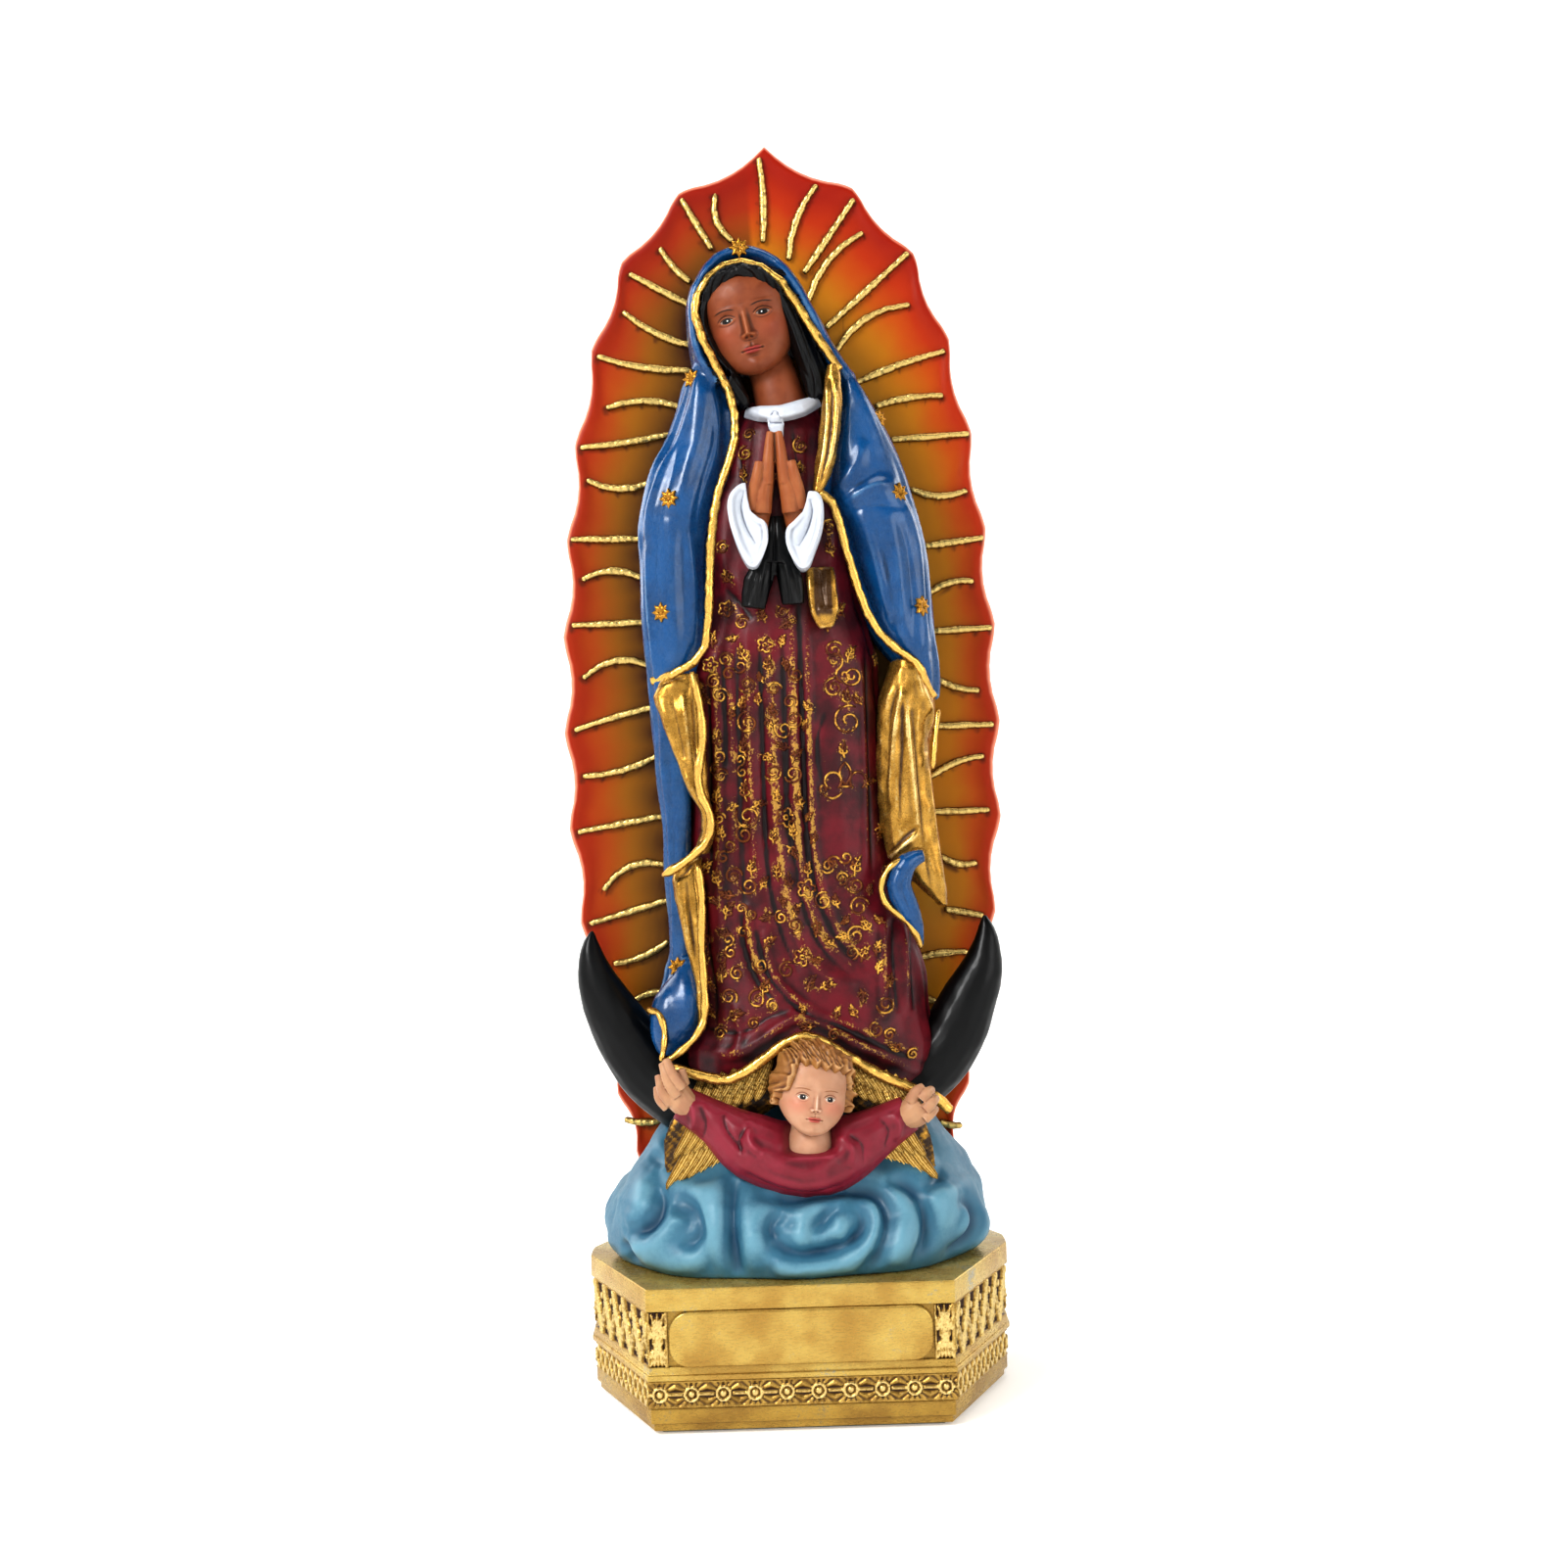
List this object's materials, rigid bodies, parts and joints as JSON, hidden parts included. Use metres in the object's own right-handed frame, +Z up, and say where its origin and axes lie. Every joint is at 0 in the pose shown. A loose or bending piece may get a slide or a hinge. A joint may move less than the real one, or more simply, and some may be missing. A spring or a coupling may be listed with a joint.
{
  "type": "madonna statue",
  "caption": "Painted cast-resin devotional statue: a robed praying figure before a scalloped sunburst panel, on a crescent, angel, cloud and six-sided plinth.",
  "frame": {"origin": "middle of the underside of the plinth, where it rests", "axes": "+Z up, the figure faces -Y, +X to the viewer's right"},
  "size_m": [0.1074, 0.0804, 0.3],
  "materials": {
    "felt": "dense green felt",
    "plinth_gold": "aged gold leaf over cast resin, brown wash in the hollows",
    "plinth_top_gold": "dull rubbed gold on the upper face",
    "trim_gold": "bright gold paint",
    "lining_gold": "gold paint with a brown wash",
    "ray_gold": "rough gold leaf",
    "wing_gold": "gold paint with a brown wash",
    "cloud_blue": "light blue paint with a darker wash, satin",
    "tunic_crimson": "crimson paint, satin",
    "gown_maroon": "wine-red paint with gold rubbed on the raised pattern",
    "mantle_blue": "royal blue gloss paint",
    "crescent_black": "black gloss paint",
    "skin_pale": "pale painted skin, satin",
    "skin_brown": "brown painted skin, satin",
    "hair_black": "black gloss paint",
    "hair_brown": "golden-brown paint with a darker wash",
    "cloth_white": "white paint, satin",
    "sunburst_orange": "lacquer shaded from ochre to red-orange",
    "steel": "plain steel rod"
  },
  "bodies": {
    "root": {"felt_pad": "felt", "plinth_foot": "plinth_gold", "plinth_core": "plinth_gold", "plinth_moulding": "plinth_gold", "plinth_top": "plinth_top_gold", "plinth_beads": "plinth_gold", "plinth_lattice": "plinth_gold", "plinth_leaves": "plinth_gold", "name_plate": "plinth_gold", "base_dowels": "steel", "cloud": "cloud_blue", "angel_tunic": "tunic_crimson", "angel_head": "skin_pale", "angel_hair": "hair_brown", "angel_left_hand": "skin_pale", "angel_right_hand": "skin_pale", "angel_left_wing": "wing_gold", "angel_right_wing": "wing_gold", "crescent_left_horn": "crescent_black", "crescent_right_horn": "crescent_black", "gown": "gown_maroon", "gown_hem_trim": "trim_gold", "mantle_left_side": "mantle_blue", "mantle_right_side": "mantle_blue", "mantle_hood": "mantle_blue", "mantle_left_corner": "mantle_blue", "mantle_right_corner": "mantle_blue", "mantle_trim": "trim_gold", "mantle_stars": "trim_gold", "lining_left_upper": "lining_gold", "lining_left_lower": "lining_gold", "lining_right": "lining_gold", "lining_lapel": "lining_gold", "sleeve_lining": "lining_gold", "madonna_head": "skin_brown", "madonna_hair": "hair_black", "collar": "cloth_white", "left_cuff": "cloth_white", "right_cuff": "cloth_white", "praying_hands": "skin_brown", "sash_ribbon": "crescent_black", "sunburst_panel": "sunburst_orange", "sunburst_rays": "ray_gold", "panel_dowels": "steel"}
  },
  "joints": []
}
